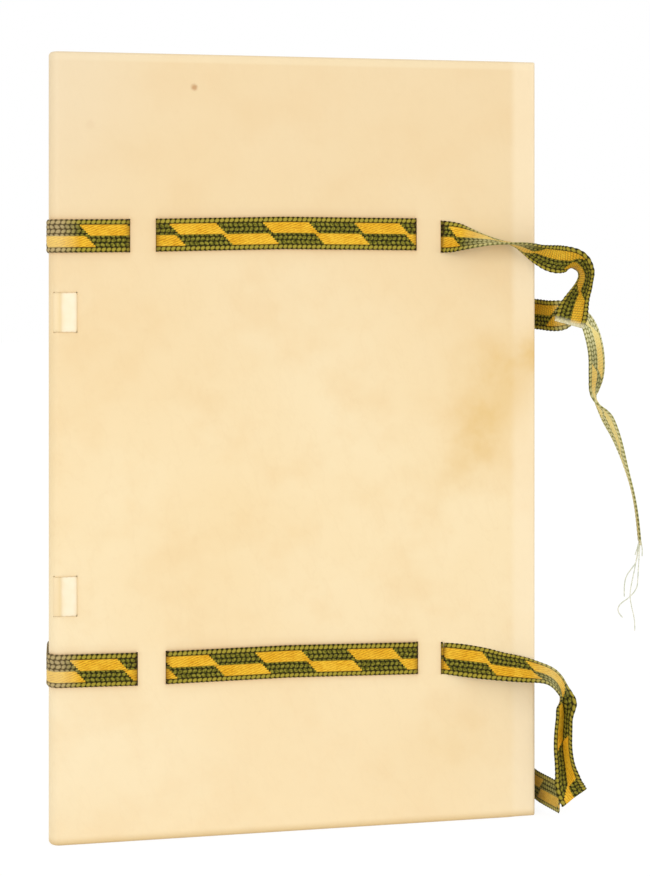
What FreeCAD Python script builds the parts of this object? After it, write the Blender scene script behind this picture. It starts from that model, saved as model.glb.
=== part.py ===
"""A limp vellum book that stands on its tail edge, laced with two woven ribbons and two sewing slips.

Millimetres, +Z up. The origin is the middle of the footprint, X runs from the spine (-X) to the
fore edge (+X), and the front cover faces -Y.
"""

import FreeCAD, Part
import Sketcher
import math
import os

doc = FreeCAD.newDocument("limp_vellum_book")

# Driving sizes
SIZES = {
    # The case: one sheet of vellum, turned in and rolled over at its edges.
    "case_height": 240.0,
    "cover_width": 149.0,
    "case_depth": 20.0,
    "vellum": 0.6,
    "turn_in_layer": 0.5,
    "turn_in_reach": 15.0,
    "shoulder_radius": 3.4,
    "roll_radius": 2.6,
    "lip_reach": 3.6,
    "mitre_gap": 0.3,
    # The sewn text block.
    "head_square": 3.2,
    "fore_square": 3.6,
    "side_room": 0.6,
    "back_room": 1.6,
    "gatherings": 10,
    # Sewing thread over the slips.
    "thread": 0.4,
    "stitch_overhang": 1.2,
    # Vellum slips that the gatherings are sewn on.
    "slip_width": 11.4,
    "slip_layer": 0.5,
    "upper_slip_at": 161.1,
    "lower_slip_at": 75.4,
    "joint_slit": 1.8,
    "slip_slit": 5.0,
    "slip_tail": 12.0,
    # Woven ribbons and the slits that they run through, counted from the shoulder.
    "ribbon_width": 9.4,
    "ribbon_layer": 0.6,
    "upper_ribbon_at": 184.9,
    "lower_ribbon_at": 52.4,
    "upper_slit_one": 20.7,
    "upper_slit_two": 29.0,
    "upper_slit_three": 109.8,
    "upper_slit_four": 118.1,
    "lower_slit_one": 23.0,
    "lower_slit_two": 32.0,
    "lower_slit_three": 110.2,
    "lower_slit_four": 118.1,
    "slit_width": 1.0,
    "slit_ease": 1.4,
}

sheet = doc.addObject("Spreadsheet::Sheet", "Sizes")
for row, (word, value) in enumerate(SIZES.items(), start=1):
    sheet.set(f"A{row}", word)
    sheet.set(f"B{row}", str(value))
    sheet.setAlias(f"B{row}", word)
doc.recompute()


def size(word):
    return float(sheet.get(word))


def worked_out(expression):
    return float(sheet.evalExpression(expression))


# Places worked out from the sizes, as expressions
HALF_WIDTH = "((Sizes.cover_width + Sizes.shoulder_radius + Sizes.ribbon_layer) / 2)"
FORE = HALF_WIDTH
SHOULDER = f"({HALF_WIDTH} - Sizes.cover_width)"
SPINE = f"({SHOULDER} - Sizes.shoulder_radius)"
HALF_DEPTH = "(Sizes.case_depth / 2)"
HEIGHT = "Sizes.case_height"
LAYERS = "(Sizes.vellum + Sizes.turn_in_layer)"
BLOCK_BACK = f"({SPINE} + {LAYERS} + Sizes.back_room)"
BLOCK_FORE = f"({FORE} - Sizes.fore_square)"
BLOCK_HALF = f"({HALF_DEPTH} - {LAYERS} - Sizes.side_room)"
GATHERING = f"(2 * {BLOCK_HALF} / Sizes.gatherings)"
JOINT_SLIT = f"({SHOULDER} - Sizes.joint_slit)"
SLIP_SLIT = f"({SHOULDER} + Sizes.slip_slit)"
BEYOND = 5.0  # how far a cutting box runs past what it cuts


# Solids bound to the sheet
def box(name, x, y, z):
    """A box between three pairs of expressions."""
    made = doc.addObject("Part::Box", name)
    for side, axis, (low, high) in (("Length", "x", x), ("Width", "y", y), ("Height", "z", z)):
        made.setExpression(side, f"({high}) - ({low})")
        made.setExpression(f"Placement.Base.{axis}", f"{low}")
    return made


def rounded(name, block, spine_radius, other_radius):
    """The box with its two upright spine edges rounded, and its other edges too if they get a radius."""
    doc.recompute()
    solid = block.Shape
    low = solid.BoundBox.XMin
    radii = []
    for number, edge in enumerate(solid.Edges, start=1):
        middle = edge.BoundBox
        at_spine = abs(middle.XMax - low) < 0.001 and middle.ZLength > middle.YLength
        radius = spine_radius if at_spine else other_radius
        if radius:
            radii.append((number, radius, radius))
    made = doc.addObject("Part::Fillet", name)
    made.Base = block
    made.Edges = radii
    return made


def fused(name, shapes):
    made = doc.addObject("Part::MultiFuse", name)
    made.Shapes = shapes
    made.Refine = True
    return made


def cut(name, base, tool):
    made = doc.addObject("Part::Cut", name)
    made.Base = base
    made.Tool = tool
    return made


def common(name, first, second):
    made = doc.addObject("Part::Common", name)
    made.Base = first
    made.Tool = second
    return made


def between(middle, extent):
    """A pair of expressions that lies evenly about a middle."""
    return f"{middle} - ({extent}) / 2", f"{middle} + ({extent}) / 2"


def on_side(side, near, far):
    """A pair of expressions across the book, on the front (-1) or the back (1)."""
    return (f"-({far})", f"-({near})") if side < 0 else (f"({near})", f"({far})")


# The vellum case, before it is parted at its two hinges
case_outside = rounded(
    "case_outside",
    box("case_block", (SPINE, FORE), (f"-{HALF_DEPTH}", HALF_DEPTH), ("0", HEIGHT)),
    size("shoulder_radius"),
    size("roll_radius"),
)
inner_depth = f"({HALF_DEPTH} - {LAYERS})"
case_cavity = rounded(
    "case_cavity",
    box(
        "cavity_block",
        (f"{SPINE} + {LAYERS}", f"{FORE} - {LAYERS}"),
        (f"-{inner_depth}", inner_depth),
        (LAYERS, f"{HEIGHT} - {LAYERS}"),
    ),
    size("shoulder_radius") - size("vellum") - size("turn_in_layer"),
    size("roll_radius") - size("vellum") - size("turn_in_layer"),
)
single_depth = f"({HALF_DEPTH} - Sizes.vellum)"
single_layer = rounded(
    "single_layer",
    box(
        "single_block",
        (f"{SPINE} + Sizes.vellum", f"{FORE} - Sizes.turn_in_reach"),
        (f"-{single_depth}", single_depth),
        ("Sizes.turn_in_reach", f"{HEIGHT} - Sizes.turn_in_reach"),
    ),
    size("shoulder_radius") - size("vellum"),
    0,
)
mouth_depth = f"({HALF_DEPTH} - Sizes.lip_reach)"
mouth = box(
    "mouth",
    (SHOULDER, f"{FORE} + {BEYOND}"),
    (f"-{mouth_depth}", mouth_depth),
    (f"-{BEYOND}", f"{HEIGHT} + {BEYOND}"),
)


def mitre(name, corner_z, sign):
    """The slanting seam where two turn-ins meet at a fore-edge corner, cut in both covers.

    It starts inside the pocket of single vellum and ends short of the rolled edges.
    """
    lead = 0.7
    made = doc.addObject("Part::Box", name)
    made.setExpression("Length", "(Sizes.turn_in_reach - Sizes.roll_radius) * sqrt(2)")
    made.setExpression("Width", f"2 * {single_depth}")
    made.setExpression("Height", "Sizes.mitre_gap")
    made.Placement = FreeCAD.Placement(
        FreeCAD.Vector(), FreeCAD.Rotation(FreeCAD.Vector(0, 1, 0), 45 * sign)
    )
    half_gap = f"{sign} * Sizes.mitre_gap / sqrt(2)"
    made.setExpression("Placement.Base.x", f"{FORE} - Sizes.turn_in_reach - {lead} - {half_gap}")
    made.setExpression("Placement.Base.y", f"-{single_depth}")
    made.setExpression("Placement.Base.z", f"{corner_z} + {sign * lead}")
    return made


mitres = [
    mitre("head_mitre", f"{HEIGHT} - Sizes.turn_in_reach", -1),
    mitre("tail_mitre", "Sizes.turn_in_reach", 1),
]

RIBBONS = {
    "upper": [f"({SHOULDER} + Sizes.upper_slit_{n})" for n in ("one", "two", "three", "four")],
    "lower": [f"({SHOULDER} + Sizes.lower_slit_{n})" for n in ("one", "two", "three", "four")],
}


def slit(name, x, z, tall):
    """A slit through both covers."""
    return box(
        name,
        between(x, "Sizes.slit_width"),
        (f"-{HALF_DEPTH} - {BEYOND}", f"{HALF_DEPTH} + {BEYOND}"),
        between(z, f"{tall} + Sizes.slit_ease"),
    )


slits = []
for level, places in RIBBONS.items():
    for number, place in enumerate(places, start=1):
        slits.append(
            slit(f"{level}_slit_{number}", place, f"Sizes.{level}_ribbon_at", "Sizes.ribbon_width")
        )
    for where, place in (("joint", JOINT_SLIT), ("cover", SLIP_SLIT)):
        slits.append(
            slit(f"{level}_{where}_slip_slit", place, f"Sizes.{level}_slip_at", "Sizes.slip_width")
        )

openings = fused("case_openings", [case_cavity, single_layer, mouth] + mitres + slits)
case = cut("case", case_outside, openings)

spine_zone = box(
    "spine_zone",
    (f"{SPINE} - {BEYOND}", SHOULDER),
    (f"-{HALF_DEPTH} - {BEYOND}", f"{HALF_DEPTH} + {BEYOND}"),
    (f"-{BEYOND}", f"{HEIGHT} + {BEYOND}"),
)
parts = {"spine_cover": common("spine_cover", case, spine_zone)}
for node, side in (("front_cover", -1), ("back_cover", 1)):
    zone = box(
        f"{node}_zone",
        (SHOULDER, f"{FORE} + {BEYOND}"),
        on_side(side, "0", f"{HALF_DEPTH} + {BEYOND}"),
        (f"-{BEYOND}", f"{HEIGHT} + {BEYOND}"),
    )
    parts[node] = common(node, case, zone)


# The text block: folded gatherings side by side, round at their backs
def point(x, y):
    return FreeCAD.Vector(x, y, 0)


def text_block():
    body = doc.addObject("PartDesign::Body", "text_block")
    body.setExpression("Placement.Base.z", "Sizes.head_square")
    sketch = body.newObject("Sketcher::SketchObject", "gathering_outline")
    flat = next(o for o in body.Origin.OriginFeatures if o.Role == "XY_Plane")
    sketch.AttachmentSupport = (flat, "")
    sketch.MapMode = "FlatFace"
    leaf_width = f"{BLOCK_FORE} - {BLOCK_BACK} - {GATHERING} / 2"
    fore, low, thick = worked_out(BLOCK_FORE), -worked_out(BLOCK_HALF), worked_out(GATHERING)
    back, high = fore - worked_out(leaf_width), low + thick
    near = sketch.addGeometry(Part.LineSegment(point(back, low), point(fore, low)))
    edge = sketch.addGeometry(Part.LineSegment(point(fore, low), point(fore, high)))
    far = sketch.addGeometry(Part.LineSegment(point(fore, high), point(back, high)))
    circle = Part.Circle(point(back, low + thick / 2), FreeCAD.Vector(0, 0, 1), thick / 2)
    fold = sketch.addGeometry(Part.ArcOfCircle(circle, math.pi / 2, 3 * math.pi / 2))
    for rule in (
        ("Coincident", near, 2, edge, 1),
        ("Coincident", edge, 2, far, 1),
        ("Tangent", far, 2, fold, 1),
        ("Tangent", fold, 2, near, 1),
        ("Horizontal", near),
        ("Vertical", edge),
    ):
        sketch.addConstraint(Sketcher.Constraint(*rule))
    for name, rule, expression in (
        ("fore_place", ("DistanceX", -1, 1, edge, 1), BLOCK_FORE),
        ("side_place", ("DistanceY", edge, 1, -1, 1), BLOCK_HALF),
        ("thickness", ("DistanceY", edge, 1, edge, 2), GATHERING),
        ("leaf_width", ("DistanceX", fold, 3, edge, 1), leaf_width),
    ):
        number = sketch.addConstraint(Sketcher.Constraint(*rule, worked_out(expression)))
        sketch.renameConstraint(number, name)
        sketch.setExpression(f"Constraints.{name}", expression)
    pad = body.newObject("PartDesign::Pad", "gathering")
    pad.Profile = sketch
    pad.setExpression("Length", f"{HEIGHT} - 2 * Sizes.head_square")
    doc.recompute()
    row = body.newObject("PartDesign::LinearPattern", "gatherings_in_a_row")
    row.Originals = [pad]
    row.Direction = (sketch, ["V_Axis"])
    row.setExpression("Length", f"{GATHERING} * (Sizes.gatherings - 1)")
    row.setExpression("Occurrences", "Sizes.gatherings")
    row.Refine = True
    body.Tip = row
    return body


parts["text_block"] = text_block()


# Sewing: one stitch of each gathering over each slip
def stitch(name, y, slip_at):
    back = f"{BLOCK_BACK} - Sizes.slip_layer"
    over = "Sizes.slip_width + 2 * Sizes.stitch_overhang"
    across = between(y, "Sizes.thread")
    run = box(f"{name}_run", (f"{back} - Sizes.thread", back), across, between(slip_at, over))
    legs = [
        box(
            f"{name}_leg_{number}",
            (f"{back} - Sizes.thread", BLOCK_BACK),
            across,
            between(f"{slip_at} + {sign} * ({over} - Sizes.thread) / 2", "Sizes.thread"),
        )
        for number, sign in ((1, -1), (2, 1))
    ]
    return fused(name, [run] + legs)


stitches = []
for level in ("upper", "lower"):
    for number in range(int(size("gatherings"))):
        y = f"(-{BLOCK_HALF} + {GATHERING} * {number + 0.5})"
        stitches.append(stitch(f"{level}_stitch_{number + 1}", y, f"Sizes.{level}_slip_at"))
parts["sewing_thread"] = doc.addObject("Part::Compound", "sewing_thread")
parts["sewing_thread"].Links = stitches


# Strips of ribbon or vellum laced through a cover
def laced(node, side, z, layer, start, slit_places, end):
    """A strip that starts on the outside and changes sides at each slit."""
    outside = on_side(side, HALF_DEPTH, f"{HALF_DEPTH} + {layer}")
    inside = on_side(side, f"{HALF_DEPTH} - Sizes.vellum - {layer}", f"{HALF_DEPTH} - Sizes.vellum")
    through = on_side(side, f"{HALF_DEPTH} - Sizes.vellum - {layer}", f"{HALF_DEPTH} + {layer}")
    pieces = []
    edge, face = start, outside
    for number, place in enumerate(slit_places, start=1):
        low, high = between(place, layer)
        pieces.append(box(f"{node}_run_{number}", (edge, high), face, z))
        pieces.append(box(f"{node}_pass_{number}", (low, high), through, z))
        edge, face = low, inside if face == outside else outside
    if end:
        pieces.append(box(f"{node}_tail", (edge, end), face, z))
    return fused(node, pieces)


def wrap(name, z, layer, zone):
    """A strip that lies against the outside of the spine."""
    outer = rounded(
        f"{name}_outer",
        box(
            f"{name}_outer_block",
            (f"{SPINE} - {layer}", f"{SHOULDER} + {BEYOND}"),
            (f"-{HALF_DEPTH} - {layer}", f"{HALF_DEPTH} + {layer}"),
            z,
        ),
        size("shoulder_radius") + size(layer.split(".")[1]),
        0,
    )
    inner = rounded(
        f"{name}_inner",
        box(
            f"{name}_inner_block",
            (SPINE, f"{SHOULDER} + 2 * {BEYOND}"),
            (f"-{HALF_DEPTH}", HALF_DEPTH),
            (f"{z[0]} - {BEYOND}", f"{z[1]} + {BEYOND}"),
        ),
        size("shoulder_radius"),
        0,
    )
    return common(name, cut(f"{name}_ring", outer, inner), zone)


for level, places in RIBBONS.items():
    z = between(f"Sizes.{level}_ribbon_at", "Sizes.ribbon_width")
    node = f"{level}_ribbon_spine"
    parts[node] = wrap(node, z, "Sizes.ribbon_layer", spine_zone)
    for cover, side in (("front", -1), ("back", 1)):
        node = f"{level}_ribbon_{cover}"
        parts[node] = laced(node, side, z, "Sizes.ribbon_layer", SHOULDER, places, None)


# Sewing slips: over the back of the block, out at the joint and into each cover
def slip_spine(node, z):
    layer = "Sizes.slip_layer"
    low, high = between(JOINT_SLIT, layer)
    link = f"{BLOCK_HALF} + {layer} / 2"
    reach = f"{HALF_DEPTH} - Sizes.shoulder_radius"
    reach += f" + sqrt((Sizes.shoulder_radius + {layer})^2 - (Sizes.joint_slit + {layer} / 2)^2)"
    zone = box(
        f"{node}_zone", (low, SHOULDER), (f"-{HALF_DEPTH} - {BEYOND}", f"{HALF_DEPTH} + {BEYOND}"), z
    )
    corners = wrap(f"{node}_corners", z, layer, zone)
    pieces = [corners]
    for side in (-1, 1):
        name = f"{node}_{'front' if side < 0 else 'back'}"
        pieces.append(box(f"{name}_pass", (low, high), on_side(side, BLOCK_HALF, reach), z))
        pieces.append(box(f"{name}_link", (low, BLOCK_BACK), on_side(side, BLOCK_HALF, link), z))
    pieces.append(
        box(f"{node}_band", (f"{BLOCK_BACK} - {layer}", BLOCK_BACK), (f"-({link})", link), z)
    )
    return fused(node, pieces)


for level in ("upper", "lower"):
    z = between(f"Sizes.{level}_slip_at", "Sizes.slip_width")
    parts[f"{level}_slip_spine"] = slip_spine(f"{level}_slip_spine", z)
    for cover, side in (("front", -1), ("back", 1)):
        node = f"{level}_slip_{cover}"
        tail = f"{SLIP_SLIT} + Sizes.slip_tail"
        parts[node] = laced(node, side, z, "Sizes.slip_layer", SHOULDER, [SLIP_SLIT], tail)

# The free ends of the ribbons, as points down their middle and the direction across them
FORE_SLIT = {
    level: worked_out(f"{places[-1]} + Sizes.ribbon_layer / 2") for level, places in RIBBONS.items()
}
OUTSIDE = worked_out(f"{HALF_DEPTH} + Sizes.ribbon_layer / 2")
TIES = {
    "upper_front_tie": [
        ((FORE_SLIT["upper"], -OUTSIDE, size("upper_ribbon_at")), (0, 0, 1)),
        ((49.0, -12.0, 184.1), (0, 0.35, 0.94)),
        ((52.8, -13.8, 183.8), (0, 0.7, 0.71)),
        ((60.0, -15.2, 183.1), (0, 0.96, 0.27)),
        ((68.8, -15.3, 182.0), (0, 1, -0.04)),
        ((72.6, -15.2, 180.6), (0, 0.93, -0.35)),
        ((76.1, -15.1, 178.9), (0.03, 0.79, -0.61)),
        ((81.7, -14.9, 177.1), (0.07, 0.41, -0.91)),
        ((85.9, -14.9, 177.0), (0.13, 0.58, -0.81)),
        ((88.4, -14.6, 176.5), (0.17, 0.68, -0.71)),
        ((90.5, -14.0, 175.1), (0.09, 0.86, -0.51)),
        ((92.2, -13.2, 172.5), (0.24, 0.88, -0.41)),
        ((91.8, -12.7, 169.3), (0.67, 0.69, -0.27)),
        ((89.3, -12.6, 164.6), (0.89, 0.42, -0.14)),
        ((87.8, -12.6, 160.5), (0.97, 0.22, -0.14)),
        ((86.7, -12.6, 156.4), (0.95, 0, -0.33)),
    ],
    "upper_back_tie": [
        ((FORE_SLIT["upper"], OUTSIDE, size("upper_ribbon_at")), (0, 0, 1)),
        ((51.6, 11.2, 183.6), (0.15, 0, 1)),
        ((58.2, 12.2, 180.0), (0.45, 0, 0.9)),
        ((64.4, 12.8, 174.4), (0.65, 0, 0.75)),
        ((69.6, 12.9, 167.8), (0.7, 0, 0.7)),
        ((74.8, 12.4, 162.2), (0.45, 0, 0.9)),
        ((79.4, 9.8, 159.4), (0.1, 0, 1)),
        ((82.5, 5.0, 159.2), (0, -0.1, 1)),
        ((84.4, 0.5, 159.9), (-0.05, 0, 1)),
        ((87.3, -3.0, 160.5), (-0.1, 0.3, 0.95)),
        ((91.0, -5.0, 160.6), (0.2, 0.75, 0.6)),
        ((94.0, -6.4, 158.8), (0.6, 0.75, 0.25)),
        ((96.0, -7.4, 154.2), (0.74, 0.66, 0.12)),
        ((97.5, -8.0, 147.2), (0.77, 0.64, 0.05)),
        ((97.5, -8.0, 140.1), (0.78, 0.63, 0)),
        ((96.5, -8.0, 135.0), (0.62, 0.78, 0)),
        ((97.0, -8.0, 131.8), (0.34, 0.94, 0)),
        ((100.2, -8.0, 127.9), (-0.08, 1, -0.05)),
        ((101.9, -8.0, 124.3), (-0.1, 1, -0.05)),
        ((104.4, -8.0, 119.1), (0.05, 1, 0)),
        ((107.4, -8.0, 110.1), (0.25, 0.97, 0)),
        ((110.1, -8.0, 101.0), (0.3, 0.95, 0)),
        ((111.5, -8.0, 91.9), (0.3, 0.95, 0)),
        ((112.0, -8.0, 85.8), (0.3, 0.95, 0)),
    ],
    "lower_front_tie": [
        ((FORE_SLIT["lower"], -OUTSIDE, size("lower_ribbon_at")), (0, 0, 1)),
        ((51.4, -11.2, 51.2), (0, 0.15, 0.99)),
        ((58.1, -12.4, 50.3), (0, 0.45, 0.89)),
        ((64.2, -13.6, 49.2), (0.05, 0.68, 0.73)),
        ((70.4, -14.1, 48.3), (0.1, 0.75, 0.66)),
        ((76.6, -14.4, 47.0), (0.15, 0.88, 0.45)),
        ((80.4, -14.2, 45.3), (0.45, 0.85, 0.28)),
        ((82.9, -14.0, 42.8), (0.5, 0.84, 0.2)),
        ((84.5, -13.8, 39.4), (0.5, 0.86, 0.1)),
        ((84.8, -13.7, 34.2), (0.95, -0.3, 0)),
        ((84.4, -13.6, 28.6), (0.95, -0.3, 0)),
        ((84.2, -13.6, 22.9), (0.95, -0.3, 0)),
        ((84.9, -13.6, 17.5), (0.95, -0.3, 0)),
        ((85.6, -13.6, 13.4), (0.95, -0.2, 0.1)),
        ((86.2, -13.6, 9.6), (0.85, 0, 0.4)),
        ((88.0, -13.6, 6.6), (0.72, 0.1, 0.69)),
    ],
    "lower_back_tie": [
        ((FORE_SLIT["lower"], OUTSIDE, size("lower_ribbon_at")), (0, 0, 1)),
        ((51.4, 11.3, 50.6), (0.15, 0, 1)),
        ((57.6, 12.4, 46.0), (0.5, 0, 0.85)),
        ((63.8, 13.2, 38.8), (0.75, 0, 0.65)),
        ((69.0, 13.6, 30.0), (0.85, 0, 0.5)),
        ((73.5, 13.4, 21.4), (0.85, 0, 0.5)),
        ((77.0, 12.6, 13.6), (0.7, 0.05, 0.7)),
        ((79.2, 9.6, 8.4), (0.15, -0.66, 0.73)),
        ((79.7, 5.4, 6.6), (0, -0.24, 0.97)),
        ((79.9, 0.8, 6.2), (0, 0, 1)),
        ((81.0, -4.0, 6.3), (0, 0.05, 1)),
        ((82.5, -8.0, 6.2), (0, 0.05, 1)),
        ((83.8, -11.5, 6.0), (0, 0, 1)),
    ],
}


def flat_band(stations, wide, thick):
    """A closed band of flat facets through the stations, and the length of its middle line."""
    middles = [FreeCAD.Vector(*place) for place, _ in stations]
    rings = []
    for number, middle in enumerate(middles):
        before = middles[max(number - 1, 0)]
        after = middles[min(number + 1, len(middles) - 1)]
        along = (after - before).normalize() if number else FreeCAD.Vector(1, 0, 0)
        across = FreeCAD.Vector(*stations[number][1])
        across = (across - along * across.dot(along)).normalize()
        out = along.cross(across)
        corners = ((1, 1), (-1, 1), (-1, -1), (1, -1))
        rings.append(
            [middle + across * (a * wide / 2) + out * (b * thick / 2) for a, b in corners]
        )

    def facet(*corners):
        return Part.Face(Part.makePolygon(list(corners) + [corners[0]]))

    faces = [facet(*rings[0]), facet(*reversed(rings[-1]))]
    for near, far in zip(rings, rings[1:]):
        for k in range(4):
            n = (k + 1) % 4
            if k < 2:
                faces.append(facet(near[k], near[n], far[n]))
                faces.append(facet(near[k], far[n], far[k]))
            else:
                faces.append(facet(near[k], near[n], far[k]))
                faces.append(facet(near[n], far[n], far[k]))
    solid = Part.Solid(Part.Shell(faces))
    if solid.Volume < 0:
        solid.reverse()
    return solid, sum((b - a).Length for a, b in zip(middles, middles[1:]))


for node, stations in TIES.items():
    solid, length = flat_band(stations, size("ribbon_width"), size("ribbon_layer"))
    parts[node] = doc.addObject("Part::Feature", node)
    parts[node].Shape = solid
    filled = solid.Volume / (size("ribbon_width") * size("ribbon_layer") * length)
    print(f"{node}: {length:.1f} mm long, volume over section by length {filled:.3f}")

# Recompute, test and write each sub-part
doc.recompute()
failed = [o.Name for o in doc.Objects if "Invalid" in o.State or "Error" in o.State]
if failed:
    raise RuntimeError(f"these objects failed: {failed}")
os.makedirs("parts", exist_ok=True)
for node, made in parts.items():
    made.Label = node
    shape = made.Shape
    if shape.isNull() or not shape.isValid():
        raise RuntimeError(f"{node} has no valid shape")
    shape.exportStep(f"parts/{node}.step")
    print(f"{node}: {len(shape.Solids)} solids, {shape.Volume:.1f} mm3, {shape.BoundBox}")
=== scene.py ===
"""A limp vellum book on its tail edge, with two woven ribbons laced through its covers."""

import math

import bpy
import numpy as np
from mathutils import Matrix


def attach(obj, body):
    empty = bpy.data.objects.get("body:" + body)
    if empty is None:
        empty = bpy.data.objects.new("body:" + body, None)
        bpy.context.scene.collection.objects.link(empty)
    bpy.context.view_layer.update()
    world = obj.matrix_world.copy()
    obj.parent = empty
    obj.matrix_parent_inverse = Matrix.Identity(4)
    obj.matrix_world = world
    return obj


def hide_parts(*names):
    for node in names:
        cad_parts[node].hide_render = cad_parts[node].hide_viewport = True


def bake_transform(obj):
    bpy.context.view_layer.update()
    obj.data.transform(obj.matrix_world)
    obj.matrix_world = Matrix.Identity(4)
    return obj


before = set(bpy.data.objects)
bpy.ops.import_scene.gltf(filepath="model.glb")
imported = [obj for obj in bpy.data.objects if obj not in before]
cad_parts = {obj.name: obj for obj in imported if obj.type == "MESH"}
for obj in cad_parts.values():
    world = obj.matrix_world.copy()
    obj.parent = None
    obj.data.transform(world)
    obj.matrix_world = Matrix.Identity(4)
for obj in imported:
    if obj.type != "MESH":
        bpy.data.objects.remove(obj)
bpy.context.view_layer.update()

# The camera stands at the height of the upper ribbon, a little left of the spine, and looks level.
# Its frame is shifted down, so that upright edges stay upright.
lens = bpy.data.cameras.new("camera")
lens.lens = 61.99
lens.sensor_width = 36.0
lens.shift_x = -0.0019
lens.shift_y = -0.1975
lens.clip_start = 0.01
camera = bpy.data.objects.new("camera", lens)
camera.location = (-0.0694, -0.4718, 0.1754)
camera.rotation_euler = (math.radians(90), 0, math.radians(-9.64))
bpy.context.scene.collection.objects.link(camera)
bpy.context.scene.camera = camera


# The woven ribbon: silk and linen tape with two rows of slanting blocks, golden satin floats and
# green knotted ground in turn, between beaded selvedges. Its reverse shows the blocks exchanged.
# All four free ends and all laced runs are cut from this tape.
RIBBON_WIDE = 0.0094
RIBBON_THICK = 0.00055
SELVEDGE = 1.25
BEAD_ROW = 1.38
BEAD_STEP = 1.5
BLOCK_REPEAT = 28.65
BLOCK_GOLD = 0.50
BLOCK_SLANT = 0.95
REVERSE = 0.02


def colour(red, green, blue):
    """A colour as it looks on a screen, 0 to 255, turned into linear light."""
    parts = [c / 255 for c in (red, green, blue)]
    return tuple(c / 12.92 if c < 0.04045 else ((c + 0.055) / 1.055) ** 2.4 for c in parts) + (1,)


class Value:
    """A socket that carries a number; an expression on it adds Math nodes."""

    def __init__(self, finish, socket):
        self.finish = finish
        self.socket = socket

    def math(self, operation, *numbers):
        numbers = dict(enumerate(numbers))
        return self.finish.value("ShaderNodeMath", {"operation": operation}, numbers)

    def __add__(self, other):
        return self.math("ADD", self, other)

    def __radd__(self, other):
        return self.math("ADD", other, self)

    def __sub__(self, other):
        return self.math("SUBTRACT", self, other)

    def __rsub__(self, other):
        return self.math("SUBTRACT", other, self)

    def __mul__(self, other):
        return self.math("MULTIPLY", self, other)

    def __rmul__(self, other):
        return self.math("MULTIPLY", other, self)

    def __truediv__(self, other):
        return self.math("DIVIDE", self, other)

    def __gt__(self, other):
        return self.math("GREATER_THAN", self, other)

    def __lt__(self, other):
        return self.math("LESS_THAN", self, other)

    def __mod__(self, other):
        return self.math("FLOORED_MODULO", self, other)

    def __abs__(self):
        return self.math("ABSOLUTE", self)

    def __pow__(self, other):
        return self.math("POWER", self, other)

    def wave(self):
        return self.math("SINE", self * (2 * math.pi)) * 0.5 + 0.5

    def ease(self, low, high):
        """0 below low, 1 above high and a soft step between them."""
        ends = {0: self, 1: low, 2: high}
        return self.finish.value("ShaderNodeMapRange", {"interpolation_type": "SMOOTHSTEP"}, ends)


class Finish:
    """A material whose nodes are made one after another."""

    def __init__(self, name):
        self.material = bpy.data.materials.new(name)
        self.material.use_nodes = True
        self.tree = self.material.node_tree
        self.surface = self.tree.nodes["Principled BSDF"]

    def node(self, kind, settings, sockets):
        made = self.tree.nodes.new(kind)
        for word, setting in settings.items():
            setattr(made, word, setting)
        for place, given in sockets.items():
            self.join(made.inputs[place], given)
        return made

    def join(self, socket, given):
        if isinstance(given, Value):
            given = given.socket
        if isinstance(given, bpy.types.NodeSocket):
            self.tree.links.new(given, socket)
        else:
            socket.default_value = given

    def value(self, kind, settings, sockets, output=0):
        return Value(self, self.node(kind, settings, sockets).outputs[output])

    def place(self, uv_map):
        """The two coordinates of a named map."""
        uv = self.node("ShaderNodeUVMap", {"uv_map": uv_map}, {}).outputs[0]
        apart = self.node("ShaderNodeSeparateXYZ", {}, {0: uv})
        return Value(self, apart.outputs[0]), Value(self, apart.outputs[1])

    def spread(self, name):
        """A number kept at the mesh's points."""
        return self.value("ShaderNodeAttribute", {"attribute_name": name}, {}, 2)

    def point(self, x, y, z=0.0):
        return self.node("ShaderNodeCombineXYZ", {}, {0: x, 1: y, 2: z}).outputs[0]

    def cloud(self, point, scale, detail=2.0, roughness=0.5):
        sockets = {"Vector": point, "Scale": scale, "Detail": detail, "Roughness": roughness}
        return self.value("ShaderNodeTexNoise", {}, sockets)

    def mix(self, share, first, second, how="MIX"):
        settings = {"data_type": "RGBA", "blend_type": how}
        return self.node("ShaderNodeMix", settings, {0: share, 6: first, 7: second}).outputs[2]

    def bump(self, height, distance, strength):
        sockets = {"Height": height, "Distance": distance, "Strength": strength}
        return self.node("ShaderNodeBump", {}, sockets).outputs[0]

    def set(self, **sockets):
        for word, given in sockets.items():
            self.join(self.surface.inputs[word.replace("_", " ")], given)


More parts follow.
